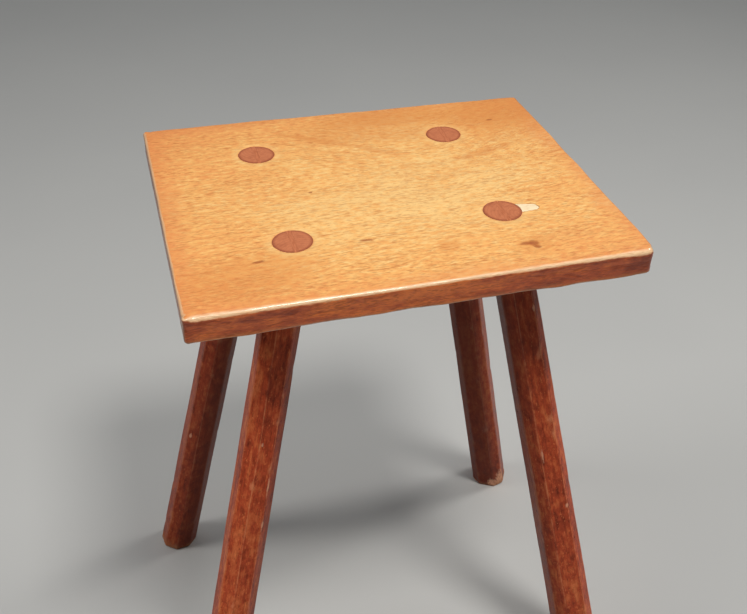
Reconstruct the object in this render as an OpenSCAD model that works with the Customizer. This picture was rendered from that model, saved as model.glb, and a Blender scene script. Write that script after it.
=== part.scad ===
// Plank stool on four staked legs.
// Each octagonal leg ends in a round tenon that passes right through the seat board,
// is spread by a wedge driven across the board's grain, and is trimmed flush with its top.
// Millimetres. +Z is up, +X runs along the board's grain to the right, the front faces -Y,
// the floor is z = 0, and the origin lies under the middle of the feet.

/* [Seat board] */
// Height of the seat's top above the floor
seat_h = 450; // [420:5:480]
// Thickness of the board
seat_t = 18.5; // [17:0.5:26]
// Length of the front edge
seat_front_w = 299; // [280:1:310]
// Length of the back edge
seat_back_w = 300; // [280:1:310]
// Depth of the left end
seat_left_d = 245; // [230:1:255]
// Depth of the right end
seat_right_d = 238; // [230:1:255]
// Middle of the board, from the middle of the footprint, left to right
seat_mid_x = -1; // [-6:0.5:6]
// Front edge of the board, from the middle of the footprint
seat_front_y = -126; // [-132:1:-118]
// Radius of the corners in plan
seat_corner_r = 3; // [2:0.5:8]
// Bevel that eases every edge of the board
seat_ease = 1.2; // [0.4:0.1:1.8]

/* [Wedged joints] */
// Diameter of the tenons
tenon_d = 25.4; // [22:0.1:25.6]
// Glue line round each tenon, wedge and filler
glue_gap = 0.05; // [0.02:0.01:0.1]
// Thickness of a wedge at the seat's top
wedge_t = 3; // [2:0.1:4]
// Thickness of a wedge at its tip
wedge_tip_t = 1; // [0.8:0.1:1.5]
// Length of a wedge down the tenon
wedge_l = 14; // [10:0.5:14]
// Saw kerf left open below a wedge
kerf_spare = 1.5; // [0.5:0.5:2]

/* [Stance] */
// Distance between the left and right tenons on the seat's top
tenon_span_x = 144; // [130:1:160]
// Distance between the front and back tenons on the seat's top
tenon_span_y = 119; // [100:1:130]
// Middle of the four tenons, from the middle of the footprint
tenon_mid = [-2, 1]; // [-4:0.5:4]
// Distance between the left and right feet
foot_span_x = 337; // [310:1:350]
// Distance between the front and back feet
foot_span_y = 229; // [210:1:240]
// Width across the flats of every leg where it meets the board
leg_top_w = 25.8; // [25.7:0.1:30]

/* [Front left leg] */
// Tenon off its mark
front_left_tenon_off = [1, -1.5]; // [-3:0.5:3]
// Foot off its mark
front_left_foot_off = [0.5, -0.5]; // [-3:0.5:3]
// Width across the flats at the foot
front_left_foot_w = 32.2; // [28:0.1:38]
// Turn of the octagon about the leg, in degrees
front_left_turn = 5; // [-45:1:45]
// Width over the cut corners, as a share of the width across the flats
front_left_share = 1.01; // [0.95:0.01:1.1]

/* [Front right leg] */
// Tenon off its mark
front_right_tenon_off = [0.5, 1.5]; // [-3:0.5:3]
// Foot off its mark
front_right_foot_off = [-0.5, 2.5]; // [-3:0.5:3]
// Width across the flats at the foot
front_right_foot_w = 34.8; // [28:0.1:38]
// Turn of the octagon about the leg, in degrees
front_right_turn = 1; // [-45:1:45]
// Width over the cut corners, as a share of the width across the flats
front_right_share = 1.07; // [0.95:0.01:1.1]

/* [Back left leg] */
// Tenon off its mark
back_left_tenon_off = [-0.5, 0.5]; // [-3:0.5:3]
// Foot off its mark
back_left_foot_off = [-0.5, 0.5]; // [-3:0.5:3]
// Width across the flats at the foot
back_left_foot_w = 31.4; // [28:0.1:38]
// Turn of the octagon about the leg, in degrees
back_left_turn = 7; // [-45:1:45]
// Width over the cut corners, as a share of the width across the flats
back_left_share = 1.01; // [0.95:0.01:1.1]

/* [Back right leg] */
// Tenon off its mark
back_right_tenon_off = [-1, 0]; // [-3:0.5:3]
// Foot off its mark
back_right_foot_off = [0.5, 1.5]; // [-3:0.5:3]
// Width across the flats at the foot
back_right_foot_w = 32.2; // [28:0.1:38]
// Turn of the octagon about the leg, in degrees
back_right_turn = -29; // [-45:1:45]
// Width over the cut corners, as a share of the width across the flats
back_right_share = 1.07; // [0.95:0.01:1.1]

/* [Gap filler] */
// Reach of the pale filler along the grain, from the tenon's centre
filler_reach = 26; // [20:1:30]
// Width of the filler beside the tenon
filler_root_w = 11; // [8:0.5:16]
// Width of the filler at its far end
filler_tip_w = 7.5; // [3:0.5:10]
// Depth of the filler below the seat's top
filler_depth = 2.5; // [1:0.5:5]

/* [Hidden] */
$fn = 96;
HULL_FN = 32;
OVER = 20; // how far a cutting shape runs past what it cuts
LAP = 5;   // how far a tenon starts inside its shaft

seat_bottom = seat_h - seat_t;
front_left_corner = [seat_mid_x - seat_front_w / 2, seat_front_y];
front_right_corner = [seat_mid_x + seat_front_w / 2, seat_front_y];
back_left_corner = [seat_mid_x - seat_back_w / 2, seat_front_y + seat_left_d];
back_right_corner = [seat_mid_x + seat_back_w / 2, seat_front_y + seat_right_d];

// A leg's row is [tenon centre, foot centre, foot width, turn, corner share];
// side is -1 for left and 1 for right, end is -1 for front and 1 for back
function leg_row(side, end, tenon_off, foot_off, foot_w, turn, share) = [
    tenon_mid + [side * tenon_span_x, end * tenon_span_y] / 2 + tenon_off,
    [side * foot_span_x, end * foot_span_y] / 2 + foot_off,
    foot_w, turn, share,
];
FRONT_LEFT = leg_row(-1, -1, front_left_tenon_off, front_left_foot_off,
                     front_left_foot_w, front_left_turn, front_left_share);
FRONT_RIGHT = leg_row(1, -1, front_right_tenon_off, front_right_foot_off,
                      front_right_foot_w, front_right_turn, front_right_share);
BACK_LEFT = leg_row(-1, 1, back_left_tenon_off, back_left_foot_off,
                    back_left_foot_w, back_left_turn, back_left_share);
BACK_RIGHT = leg_row(1, 1, back_right_tenon_off, back_right_foot_off,
                     back_right_foot_w, back_right_turn, back_right_share);
LEGS = [FRONT_LEFT, FRONT_RIGHT, BACK_LEFT, BACK_RIGHT];

OAK = [0.83, 0.55, 0.29];
STAINED = [0.38, 0.17, 0.10];
WEDGE = [0.52, 0.29, 0.19];
FILLER = [0.94, 0.85, 0.70];

function top_of(leg) = leg[0];
function foot_of(leg) = leg[1];
function foot_w_of(leg) = leg[2];
function turn_of(leg) = leg[3];
function share_of(leg) = leg[4];
function rake_run(leg) = top_of(leg) - foot_of(leg);
function rake(leg) = atan(norm(rake_run(leg)) / seat_h);
function heading(leg) = atan2(rake_run(leg).y, rake_run(leg).x);
function length_to(leg, height) = height / cos(rake(leg));

// Octagon whose four main sides lie w apart and whose four corner cuts lie w * share apart
function octagon(w, share) =
    let (h = w / 2, m = (sqrt(2) * share - 1) * h)
    [[h, -m], [h, m], [m, h], [-m, h], [-h, m], [-h, -m], [-m, -h], [m, -h]];

// Stands its children on the foot with +Z up the leg's axis and +X kept towards the right
module along(leg) {
    translate([foot_of(leg).x, foot_of(leg).y, 0])
        rotate([0, 0, heading(leg)])
            rotate([0, rake(leg), 0])
                rotate([0, 0, -heading(leg)])
                    children();
}

// All the space between two heights
module level(low, high) {
    span = 2 * max(seat_back_w, seat_left_d);
    translate([-span / 2, -span / 2, low]) cube([span, span, high - low]);
}

module shaft(leg) {
    shaft_l = length_to(leg, seat_bottom);
    gain = (leg_top_w - foot_w_of(leg)) / shaft_l;
    low_w = foot_w_of(leg) - gain * OVER;
    high_w = leg_top_w + gain * OVER;
    intersection() {
        along(leg)
            rotate([0, 0, turn_of(leg)])
                translate([0, 0, -OVER])
                    linear_extrude(height = shaft_l + 2 * OVER, scale = high_w / low_w)
                        polygon(octagon(low_w, share_of(leg)));
        level(0, seat_bottom);
    }
}

// Round bar on the leg's axis, from just inside the shaft to past the seat's top
module bar(leg, d) {
    start = length_to(leg, seat_bottom - LAP);
    along(leg)
        translate([0, 0, start])
            cylinder(d = d, h = length_to(leg, seat_h) - start + OVER);
}

// Tapered plate down the middle of a tenon, grown by gap on its sides and by spare at its tip
module wedge_plate(leg, gap, spare) {
    slope = (wedge_t - wedge_tip_t) / 2 / wedge_l;
    top_half = wedge_t / 2 + slope * OVER + gap;
    tip_half = wedge_tip_t / 2 - slope * spare + gap;
    tip_z = -wedge_l - spare;
    along(leg)
        translate([0, 0, length_to(leg, seat_h)])
            rotate([90, 0, 0])
                linear_extrude(height = 2 * tenon_d, center = true)
                    polygon([
                        [-top_half, OVER], [top_half, OVER],
                        [tip_half, tip_z], [-tip_half, tip_z],
                    ]);
}

module leg(leg) {
    color(STAINED)
        difference() {
            union() {
                shaft(leg);
                intersection() {
                    bar(leg, tenon_d);
                    level(seat_bottom - LAP, seat_h);
                }
            }
            wedge_plate(leg, glue_gap, kerf_spare);
        }
}

module wedge(leg) {
    color(WEDGE)
        intersection() {
            wedge_plate(leg, 0, 0);
            bar(leg, tenon_d);
            level(seat_bottom, seat_h);
        }
}

// Split-out beside the front right tenon, from the tenon outwards along the grain
module filler_shape(gap) {
    root = filler_root_w / 2 - gap;
    tip = filler_tip_w / 2 - gap;
    end = filler_reach - gap;
    centre = top_of(FRONT_RIGHT);
    translate([centre.x, centre.y, seat_h - filler_depth + gap])
        linear_extrude(height = filler_depth)
            polygon([
                [0, root], [tenon_d / 2, root], [end, tip],
                [end, -tip], [tenon_d / 2, -root], [0, -root],
            ]);
}

// Rounded and bevelled outline of the board
module board() {
    inset = seat_corner_r;
    posts = [
        front_left_corner + [inset, inset], front_right_corner + [-inset, inset],
        back_left_corner + [inset, -inset], back_right_corner + [-inset, -inset],
    ];
    hull()
        for (post = posts)
            translate([post.x, post.y, seat_bottom]) {
                cylinder(r = seat_corner_r - seat_ease, h = seat_t, $fn = HULL_FN);
                translate([0, 0, seat_ease])
                    cylinder(r = seat_corner_r, h = seat_t - 2 * seat_ease, $fn = HULL_FN);
            }
}

module seat_board() {
    color(OAK)
        difference() {
            board();
            for (leg = LEGS)
                bar(leg, tenon_d + 2 * glue_gap);
            filler_shape(0);
        }
}

module gap_filler() {
    color(FILLER)
        intersection() {
            difference() {
                filler_shape(glue_gap);
                bar(FRONT_RIGHT, tenon_d + 2 * glue_gap);
            }
            level(seat_bottom, seat_h);
        }
}

module leg_front_left() leg(FRONT_LEFT);
module leg_front_right() leg(FRONT_RIGHT);
module leg_back_left() leg(BACK_LEFT);
module leg_back_right() leg(BACK_RIGHT);
module wedge_front_left() wedge(FRONT_LEFT);
module wedge_front_right() wedge(FRONT_RIGHT);
module wedge_back_left() wedge(BACK_LEFT);
module wedge_back_right() wedge(BACK_RIGHT);

seat_board();
leg_front_left();
leg_front_right();
leg_back_left();
leg_back_right();
wedge_front_left();
wedge_front_right();
wedge_back_left();
wedge_back_right();
gap_filler();
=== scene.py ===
"""Looks of a small rustic stool: one oak plank staked on four octagonal, stained legs.

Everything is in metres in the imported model's own frame: +Z is up, +X runs along the plank's
grain to the right, and the front long edge faces -Y. Material sizes are in millimetres,
because each finish works on coordinates that its bench has turned into millimetres.
"""

from __future__ import annotations

import logging
import math
import random
from dataclasses import dataclass, field
from enum import Enum
from typing import Callable, Iterable, Mapping, Sequence, Union

import bpy
import numpy as np
from mathutils import Matrix, Vector, noise
from mathutils.geometry import delaunay_2d_cdt


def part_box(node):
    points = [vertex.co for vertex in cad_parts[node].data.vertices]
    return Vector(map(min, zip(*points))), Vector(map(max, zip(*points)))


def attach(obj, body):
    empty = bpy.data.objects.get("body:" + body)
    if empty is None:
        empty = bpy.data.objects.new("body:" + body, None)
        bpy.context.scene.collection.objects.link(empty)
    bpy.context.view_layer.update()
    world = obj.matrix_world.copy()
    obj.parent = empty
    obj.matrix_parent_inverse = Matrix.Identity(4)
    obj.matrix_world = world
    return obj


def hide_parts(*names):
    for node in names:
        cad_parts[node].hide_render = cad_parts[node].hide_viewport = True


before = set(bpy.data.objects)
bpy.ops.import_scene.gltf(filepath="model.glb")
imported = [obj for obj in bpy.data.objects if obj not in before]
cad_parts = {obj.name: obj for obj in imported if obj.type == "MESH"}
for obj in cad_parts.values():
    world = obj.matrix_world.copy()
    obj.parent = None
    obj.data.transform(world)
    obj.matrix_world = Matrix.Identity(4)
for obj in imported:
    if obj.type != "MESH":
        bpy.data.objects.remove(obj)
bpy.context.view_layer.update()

LOG = logging.getLogger("stool")
MM = 0.001
BODY = "root"
WEAR = "wear"
CRISP_DEGREES = 38.0
EDGE_BAND = 6 * MM

Level = Union["Signal", float]
Colour = tuple[float, float, float, float]


def paint(red: int, green: int, blue: int) -> Colour:
    """Turn a colour picked on a 0 to 255 display scale into the linear colour that shaders take.

    Args:
        red: Red share, 0 to 255.
        green: Green share, 0 to 255.
        blue: Blue share, 0 to 255.

    Returns:
        Linear red, green, blue and an alpha of one.
    """
    shares = (red / 255, green / 255, blue / 255)
    linear = [s / 12.92 if s <= 0.04045 else ((s + 0.055) / 1.055) ** 2.4 for s in shares]
    return (linear[0], linear[1], linear[2], 1.0)


class Signal:
    """A node's output that can be used in plain arithmetic: each operation adds a Math node."""

    def __init__(self, bench: "Bench", socket: bpy.types.NodeSocket) -> None:
        """Keep the bench that adds nodes and the socket that this signal stands for."""
        self.bench = bench
        self.socket = socket

    def __add__(self, other: Level) -> "Signal":
        """Sum of two signals."""
        return self.bench.math("ADD", self, other)

    def __radd__(self, other: Level) -> "Signal":
        """Sum with a number on the left."""
        return self.bench.math("ADD", other, self)

    def __sub__(self, other: Level) -> "Signal":
        """Difference of two signals."""
        return self.bench.math("SUBTRACT", self, other)

    def __rsub__(self, other: Level) -> "Signal":
        """Difference with a number on the left, as in 1 - mask."""
        return self.bench.math("SUBTRACT", other, self)

    def __mul__(self, other: Level) -> "Signal":
        """Product of two signals."""
        return self.bench.math("MULTIPLY", self, other)

    def __rmul__(self, other: Level) -> "Signal":
        """Product with a number on the left."""
        return self.bench.math("MULTIPLY", other, self)

    def __truediv__(self, other: Level) -> "Signal":
        """Quotient of two signals."""
        return self.bench.math("DIVIDE", self, other)

    def __pow__(self, other: Level) -> "Signal":
        """Signal raised to a power."""
        return self.bench.math("POWER", self, other)

    def __abs__(self) -> "Signal":
        """Signal without its sign."""
        return self.bench.math("ABSOLUTE", self)

    def least(self, other: Level) -> "Signal":
        """Lower of two signals."""
        return self.bench.math("MINIMUM", self, other)

    def most(self, other: Level) -> "Signal":
        """Higher of two signals."""
        return self.bench.math("MAXIMUM", self, other)

    def decay(self) -> "Signal":
        """e to the power of minus this signal."""
        return self.bench.math("EXPONENT", self * -1.0)

    def step(self, low: float, high: float) -> "Signal":
        """Smooth step from 0 at low to 1 at high; low may be the larger of the two.

        Args:
            low: Value at which the step is 0.
            high: Value at which the step is 1.

        Returns:
            The eased signal, held between 0 and 1.
        """
        settings = {"interpolation_type": "SMOOTHSTEP"}
        return self.bench.node("ShaderNodeMapRange", settings, {0: self, 1: low, 2: high})

    def beside(self, output: str) -> "Signal":
        """Another output of the same node."""
        return Signal(self.bench, self.socket.node.outputs[output])


class Bench:
    """One material's node tree, with the single method that adds a node to it."""

    def __init__(self, name: str) -> None:
        """Start an empty node tree for a new material.

        Args:
            name: Name of the material.
        """
        self.material = bpy.data.materials.new(name)
        self.material.use_nodes = True
        self.tree = self.material.node_tree
        self.tree.nodes.clear()

    def node(
        self,
        kind: str,
        settings: Mapping[str, object] | None = None,
        inputs: Mapping[Union[int, str], object] | None = None,
        output: Union[int, str] = 0,
    ) -> Signal:
        """Add a node.

        Args:
            kind: Blender's type name of the node.
            settings: Properties, set first; "stops" is a colour ramp's list of (place, colour).
            inputs: Numbers, colours or signals for the node's sockets, by name or number.
            output: Name or number of the output to return.

        Returns:
            The chosen output as a signal.
        """
        made = self.tree.nodes.new(kind)
        for name, value in (settings or {}).items():
            if name == "stops":
                self._set_stops(made.color_ramp, value)
            else:
                setattr(made, name, value)
        for name, value in (inputs or {}).items():
            if isinstance(value, Signal):
                self.tree.links.new(value.socket, made.inputs[name])
            else:
                made.inputs[name].default_value = value
        return Signal(self, made.outputs[output] if len(made.outputs) else None)

    @staticmethod
    def _set_stops(ramp: bpy.types.ColorRamp, stops: Sequence[tuple[float, Colour]]) -> None:
        """Give a colour ramp its stops.

        Args:
            ramp: The ramp, which starts with two stops.
            stops: Place and colour of each stop, in rising order.
        """
        while len(ramp.elements) < len(stops):
            ramp.elements.new(1.0)
        for element, (place, colour) in zip(ramp.elements, stops):
            element.position = place
            element.color = colour

    def math(self, operation: str, *levels: Level) -> Signal:
        """Add a Math node on one or two levels."""
        return self.node("ShaderNodeMath", {"operation": operation}, dict(enumerate(levels)))

    def mix(self, first: object, second: object, share: Level) -> Signal:
        """Blend two colours.

        Args:
            first: Colour or signal shown where share is 0.
            second: Colour or signal shown where share is 1.
            share: Blend factor.

        Returns:
            The blended colour.
        """
        settings = {"data_type": "RGBA", "clamp_factor": True}
        return self.node("ShaderNodeMix", settings, {0: share, 6: first, 7: second}, output=2)

    def ramp(self, level: Level, stops: Sequence[tuple[float, Colour]]) -> Signal:
        """Colour ramp over a level."""
        return self.node("ShaderNodeValToRGB", {"stops": stops}, {0: level})

    def join(self, x: Level, y: Level, z: Level) -> Signal:
        """Vector from three levels."""
        return self.node("ShaderNodeCombineXYZ", None, {0: x, 1: y, 2: z})

    def split(self, vector: Signal) -> tuple[Signal, Signal, Signal]:
        """Three levels of a vector."""
        x = self.node("ShaderNodeSeparateXYZ", None, {0: vector})
        return x, x.beside("Y"), x.beside("Z")

    def clouds(self, vector: Signal, detail: float = 2.0, rough: float = 0.5) -> Signal:
        """Soft noise from 0 to 1 on a vector that is already in units of the noise's grain.

        Args:
            vector: Coordinates, one unit to a blotch.
            detail: Number of finer layers.
            rough: Strength of the finer layers.

        Returns:
            The noise, with a mean near one half.
        """
        inputs = {"Vector": vector, "Scale": 1.0, "Detail": detail, "Roughness": rough}
        return self.node("ShaderNodeTexNoise", {"noise_dimensions": "3D"}, inputs)

    def place_in_mm(self, stand: "Matrix | None" = None) -> Signal:
        """Coordinates in millimetres, in the model's frame or in a stand's own axes.

        Args:
            stand: Matrix whose axes and origin the coordinates are measured from.

        Returns:
            The coordinates as a vector.
        """
        stand = stand or Matrix.Identity(4)
        inputs = {
            0: self.node("ShaderNodeTexCoord", output="Object"),
            1: stand.to_translation(),
            2: stand.to_euler("XYZ"),
            3: (MM, MM, MM),
        }
        return self.node("ShaderNodeMapping", {"vector_type": "TEXTURE"}, inputs)

    def facing(self) -> tuple[Signal, Signal, Signal]:
        """Three levels of the surface's own direction, in the model's frame."""
        return self.split(self.node("ShaderNodeNewGeometry", output="Normal"))

    def varnished(self, looks: "Looks") -> bpy.types.Material:
        """Finish the material with a coated surface.

        Args:
            looks: Colour, roughness, coat and relief of the surface.

        Returns:
            The finished material.
        """
        relief = {"Strength": 1.0, "Distance": MM, "Height": looks.relief_mm}
        inputs = {
            "Base Color": looks.colour,
            "Roughness": looks.roughness,
            "Coat Weight": looks.coat,
            "Coat Roughness": looks.coat_roughness,
            "Specular IOR Level": looks.specular,
            "Normal": self.node("ShaderNodeBump", None, relief),
        }
        surface = self.node("ShaderNodeBsdfPrincipled", None, inputs)
        self.node("ShaderNodeOutputMaterial", None, {"Surface": surface})
        return self.material


@dataclass(frozen=True)
class Looks:
    """What a finish works out for its surface."""

    colour: Signal
    roughness: Level
    coat: Level
    relief_mm: Signal
    coat_roughness: float = 0.16
    specular: float = 0.5


@dataclass(frozen=True)
class Spot:
    """A small mark on the plank's top: middle and half sizes in millimetres, tilt in degrees."""

    x: float
    y: float
    half_x: float
    half_y: float
    tilt: float = 0.0

    def mask(self, bench: Bench, x: Signal, y: Signal, ragged: Signal) -> Signal:
        """Soft mask of the mark.

        Args:
            bench: Bench to add nodes to.
            x: Coordinate along the grain.
            y: Coordinate across the grain.
            ragged: Noise that roughens the outline.

        Returns:
            1 inside the mark and 0 outside it.
        """
        turn = math.radians(self.tilt)
        along = (x - self.x) * math.cos(turn) + (y - self.y) * math.sin(turn)
        across = (y - self.y) * math.cos(turn) - (x - self.x) * math.sin(turn)
        reach = (along / self.half_x) ** 2.0 + (across / self.half_y) ** 2.0
        return (reach + (ragged - 0.5) * 1.6).step(1.6, 0.1)


@dataclass(frozen=True)
class Grain:
    """The plank's coordinates, in millimetres, and the patterns that all its faces share."""

    bench: Bench
    x: Signal
    y: Signal
    z: Signal
    blotch: Signal
    fine: Signal
    pores: Signal
    rings: Signal


@dataclass(frozen=True)
class GoldenOak:
    """Old golden varnish on a plain-sawn oak plank, worn paler in the middle."""

    pale: Colour = paint(251, 207, 137)
    golden: Colour = paint(247, 187, 112)
    amber: Colour = paint(236, 158, 92)
    border: Colour = paint(226, 134, 80)
    pore: Colour = paint(176, 98, 44)
    ring: Colour = paint(218, 138, 72)
    side: Colour = paint(202, 92, 46)
    side_dark: Colour = paint(142, 60, 33)
    side_warm: Colour = paint(244, 130, 58)
    # Pale worn colour of the arrises, also a painted highlight along the front and left arrises.
    rubbed_and_sheen: Colour = paint(252, 216, 170)
    end_pale: Colour = paint(176, 104, 60)
    end_dark: Colour = paint(104, 54, 32)
    raw: Colour = paint(160, 118, 82)
    raw_dark: Colour = paint(104, 72, 50)
    knot: Colour = paint(160, 82, 42)
    pith_y: float = 46.0
    pith_depth: float = 84.0
    ring_gap: float = 5.2
    rise: float = 34.0
    marks: tuple[Spot, ...] = (
        Spot(75.4, -99.6, 3.2, 3.8, -12.0),
        Spot(70.4, -98.6, 4.6, 1.8, 0.0),
        Spot(76.0, -104.0, 2.4, 1.6, -10.0),
        Spot(-48.5, -2.0, 1.4, 1.1, 10.0),
        Spot(-98.0, -78.0, 4.0, 1.3, 8.0),
        Spot(-27.0, -70.0, 4.5, 1.2, -6.0),
        Spot(112.0, 76.0, 3.0, 1.1, 5.0),
    )
    veils: tuple[Spot, ...] = (
        Spot(-26.0, 73.0, 34.0, 4.5, -32.0),
        Spot(14.0, 46.0, 22.0, 4.0, -38.0),
        Spot(93.0, 28.0, 30.0, 4.5, 17.0),
        Spot(22.0, -89.0, 9.0, 7.0, 30.0),
        Spot(75.0, -101.0, 13.0, 10.0, 0.0),
        Spot(128.0, 92.0, 44.0, 26.0, 20.0),
        Spot(116.0, 80.0, 40.0, 40.0, 0.0),
        Spot(40.0, 98.0, 60.0, 14.0, 0.0),
        Spot(26.0, 84.0, 70.0, 26.0, -4.0),
        Spot(-106.0, -92.0, 46.0, 24.0, 8.0),
    )

    def dress(self, piece: bpy.types.Object, tenons: Sequence[Vector]) -> None:
        """Give the plank its material.

        Args:
            piece: The plank.
            tenons: Middles of the tenons on the plank's top, in metres.
        """
        bench = Bench("golden_oak")
        low, high = (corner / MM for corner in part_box("seat_board"))
        nx, _, nz = bench.facing()
        wear = bench.node("ShaderNodeAttribute", {"attribute_name": WEAR}, output="Fac")
        grain = self._grain(bench, high.z)
        blotch, fine, pores, rings = grain.blotch, grain.fine, grain.pores, grain.rings

        side_colour = self._side_colour(grain, low.z)
        end_colour, end_pores = self._end_colour(grain, high.z)
        raw_colour, saw = self._raw_colour(grain)

        is_end = abs(nx).step(0.62, 0.86)
        is_top = nz.step(0.35, 0.8)
        is_under = nz.step(-0.45, -0.8)
        colour = bench.mix(side_colour, end_colour, is_end)
        colour = bench.mix(colour, self._top_colour(grain, tenons, low, high), is_top)
        colour = bench.mix(colour, raw_colour, is_under)
        scrape_and_sheen = (wear + (fine - 0.5) * 0.9 + (blotch - 0.5) * 0.7).step(0.35, 1.05)
        scrape_and_sheen = scrape_and_sheen * (1.0 - is_under)
        # Painted highlight: on the front arrises and the left top arris the pale worn colour stands
        # in for the varnish's glossy highlight as well as for wear.
        on_left = (grain.x - low.x).step(5.0, 2.5) * nz.step(0.1, 0.5)
        in_front = (grain.y - low.y).step(9.0, 4.0).most(on_left * 0.8)
        colour = bench.mix(colour, self.border, scrape_and_sheen * 0.6)
        colour = bench.mix(colour, self.rubbed_and_sheen, scrape_and_sheen * in_front * 0.85)

        scratches = self._scratches(grain) * is_top
        relief = (
            pores * -0.13
            + rings * -0.035
            + fine * 0.05
            + scratches * -0.05
            + is_end * end_pores * -0.2
            + is_under * saw * 0.22
        )
        rough = 0.36 + pores * 0.2 + (blotch - 0.5) * 0.16 + is_under * 0.34 + scratches * 0.1
        coat = (0.4 + wear * 0.4 - pores * 0.3) * (1.0 - is_under)
        looks = Looks(colour, rough, coat, relief, 0.2, 0.35)
        piece.data.materials.append(bench.varnished(looks))

    def _grain(self, bench: Bench, top: float) -> Grain:
        """Coordinates and shared patterns of the plank.

        Args:
            bench: Bench to add nodes to.
            top: Height of the plank's top.

        Returns:
            The grain.
        """
        x, y, z = bench.split(bench.place_in_mm())
        sway = bench.clouds(bench.join(x / 190.0, y / 62.0, z / 62.0), 2.0) - 0.5
        across = (x - 52.0) / 72.0
        along = (y - 48.0) / 60.0
        rise = (across * across + along * along).decay() * self.rise
        lane = y + rise * 0.8 + sway * 30.0
        pores = self._pores(bench, x, lane, z)
        rings = self._rings(bench, x, y + sway * 46.0, z - (top - self.pith_depth), rise)
        blotch = bench.clouds(bench.join(x / 78.0, lane / 40.0, z / 40.0), 3.0, 0.6)
        fine = bench.clouds(bench.join(x / 5.0, lane / 1.3, z / 1.3), 3.0, 0.65)
        return Grain(bench, x, y, z, blotch, fine, pores, rings)

    def _pores(self, bench: Bench, x: Signal, lane: Signal, z: Signal) -> Signal:
        """Short dark dashes that follow the grain.

        Args:
            bench: Bench to add nodes to.
            x: Coordinate along the grain.
            lane: Coordinate across the grain, bent as the grain is.
            z: Height.

        Returns:
            1 in a pore and 0 on solid wood.
        """
        long_dash = bench.clouds(bench.join(x / 7.0, lane / 1.25, z / 1.25), 1.0)
        short_dash = bench.clouds(bench.join(x / 3.2 + 31.0, lane / 0.75, z / 0.75), 1.0)
        crowd = bench.clouds(bench.join(x / 60.0, lane / 9.0, z / 9.0), 2.0)
        long_mask = (long_dash + (crowd - 0.5) * 0.34).step(0.54, 0.70)
        short_mask = (short_dash + (crowd - 0.5) * 0.26).step(0.55, 0.70)
        return long_mask.most(short_mask * 0.75)

    def _rings(self, bench: Bench, x: Signal, y: Signal, depth: Signal, rise: Signal) -> Signal:
        """Growth rings about a pith line below the plank.

        Args:
            bench: Bench to add nodes to.
            x: Coordinate along the grain.
            y: Coordinate across the grain, swayed.
            depth: Height above the pith.
            rise: Bow of the grain.

        Returns:
            1 at the porous start of each ring, fading to 0.
        """
        across = y - self.pith_y
        reach = bench.math("SQRT", across * across + depth * depth)
        waver = bench.clouds(bench.join(x / 90.0, y / 30.0, depth / 30.0), 2.0) * 5.0
        share = bench.math("FRACT", (reach + rise + waver) / self.ring_gap)
        return share.step(0.55, 0.02) * share.step(0.0, 0.06)

    def _top_colour(
        self, grain: Grain, tenons: Sequence[Vector], low: Vector, high: Vector
    ) -> Signal:
        """Colour of the open top, paler in the middle and on the right, redder at its edges.

        Args:
            grain: The plank's coordinates and patterns.
            tenons: Middles of the tenons, in metres.
            low: Lowest corner of the plank.
            high: Highest corner of the plank.

        Returns:
            The colour.
        """
        bench, x, y = grain.bench, grain.x, grain.y
        blotch, fine, pores = grain.blotch, grain.fine, grain.pores
        off_x = (x - 22.0) / 150.0
        off_y = (y + 16.0) / 128.0
        sun = off_x * off_x + off_y * off_y
        ripple = bench.clouds(bench.join(x / 7.0, y / 2.6, 6.0), 2.0, 0.6)
        tone = sun * 0.4 + (blotch - 0.5) * 1.2 + (fine - 0.5) * 1.2 + (ripple - 0.5) * 2.0 + 0.16
        stops = [(0.0, self.pale), (0.42, self.golden), (1.0, self.amber)]
        colour = bench.ramp(tone, stops)
        colour = bench.mix(colour, self.ring, grain.rings * (0.04 + blotch * 0.22))
        colour = bench.mix(colour, self.pore, pores * (0.12 + fine * 0.7))

        edge_gap = (x - low.x).least(high.x - x).least((y - low.y).least(high.y - y))
        sunned = (edge_gap + (blotch - 0.5) * 50.0).step(20.0, 1.0) * 0.42
        colour = bench.mix(colour, self.border, sunned * (1.0 - pores * 0.4))
        ragged = bench.clouds(bench.join(x / 3.4, y / 1.8, grain.z / 1.8), 2.0)
        for veil in self.veils:
            share = veil.mask(bench, x, y, blotch * 0.6 + ragged * 0.4)
            colour = bench.mix(colour, self.ring, share * 0.42)
        colour = self._round_tenons(grain, colour, tenons)
        for mark in self.marks:
            colour = bench.mix(colour, self.knot, mark.mask(bench, x, y, ragged) * 0.74)
        return colour

    def _round_tenons(self, grain: Grain, colour: Signal, tenons: Sequence[Vector]) -> Signal:
        """Rubbed, paler ring with a dark inner line round each tenon.

        Args:
            grain: The plank's coordinates and patterns.
            colour: Colour so far.
            tenons: Middles of the tenons, in metres.

        Returns:
            The colour with the rings.
        """
        bench = grain.bench
        nearest: Level = 1000.0
        for tenon in tenons:
            dx = grain.x - tenon.x / MM
            dy = grain.y - tenon.y / MM
            nearest = bench.math("SQRT", dx * dx + dy * dy).least(nearest)
        colour = bench.mix(colour, self.pale, nearest.step(20.0, 15.0) * 0.3)
        return bench.mix(colour, self.border, nearest.step(14.2, 12.6) * 0.7)

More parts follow.
